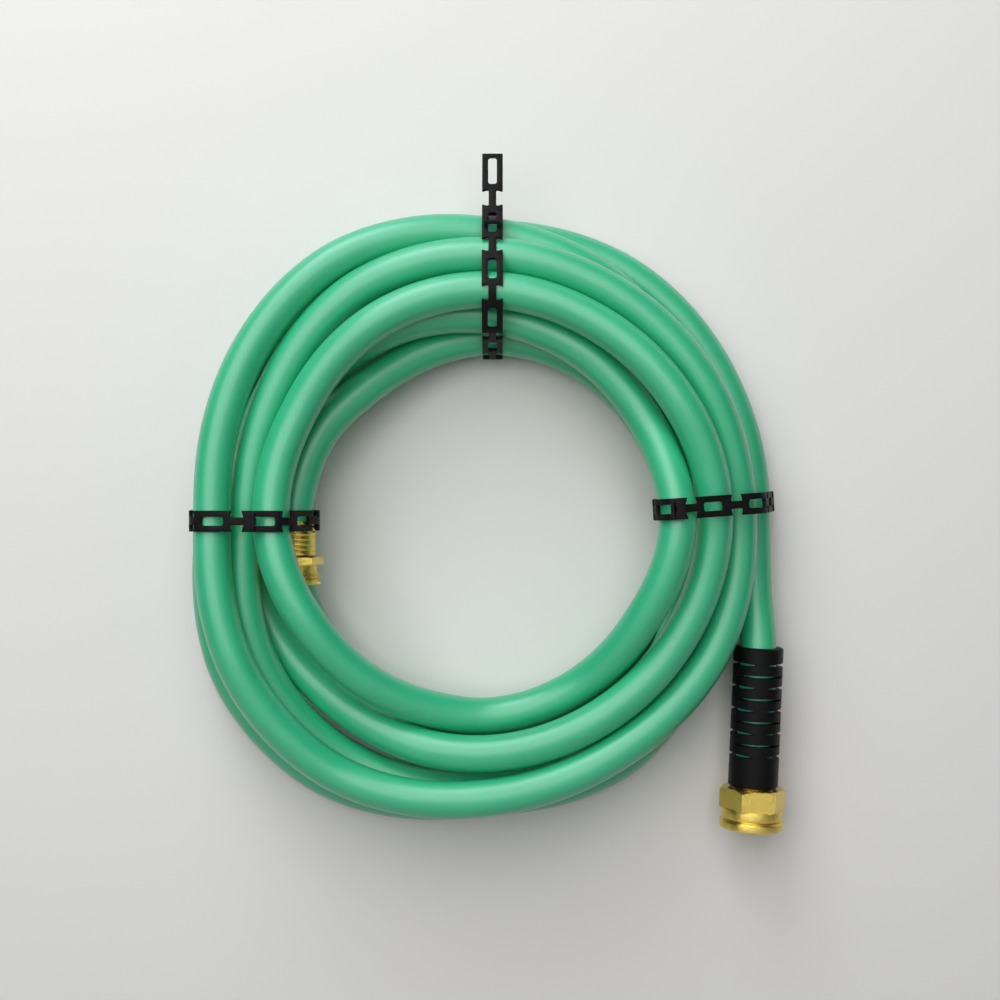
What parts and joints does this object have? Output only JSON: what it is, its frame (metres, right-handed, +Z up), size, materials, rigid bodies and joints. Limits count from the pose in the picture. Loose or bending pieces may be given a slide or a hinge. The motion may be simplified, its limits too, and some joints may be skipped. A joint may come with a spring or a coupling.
{
  "type": "coiled garden hose",
  "caption": "Green garden hose wound into a flat coil, held by slotted-link straps, with a brass male end and a brass swivel coupling under a slotted bend collar.",
  "frame": {"origin": "where the hook bears: the upper end of the slot in the top strap's hanging link, at mid thickness", "axes": "+Z up, +X to the right seen from the front, -Y out of the front; the wall plane lies at y = +38 mm, parallel to XZ"},
  "size_m": [0.3118, 0.0762, 0.3463],
  "materials": {
    "hose_vinyl": "satin vinyl",
    "brass": "machined brass",
    "black_plastic": "moulded, satin",
    "black_rubber": "matte",
    "strap_plastic": "moulded, matte"
  },
  "bodies": {
    "coil": {"hose": "hose_vinyl", "male_ferrule": "brass", "male_fitting": "brass", "bend_collar": "black_plastic", "female_ferrule": "brass", "tailpiece": "brass", "top_strap": "strap_plastic", "left_strap": "strap_plastic", "right_strap": "strap_plastic"},
    "nut": {"swivel_nut": "brass", "hose_washer": "black_rubber"}
  },
  "joints": [
    {"name": "nut_swivel", "type": "hinge", "parent": "coil", "child": "nut", "pos_m": [0.13525, 0.0195, -0.32347], "axis": [-0.0419, 0, -0.9991], "continuous": true}
  ]
}
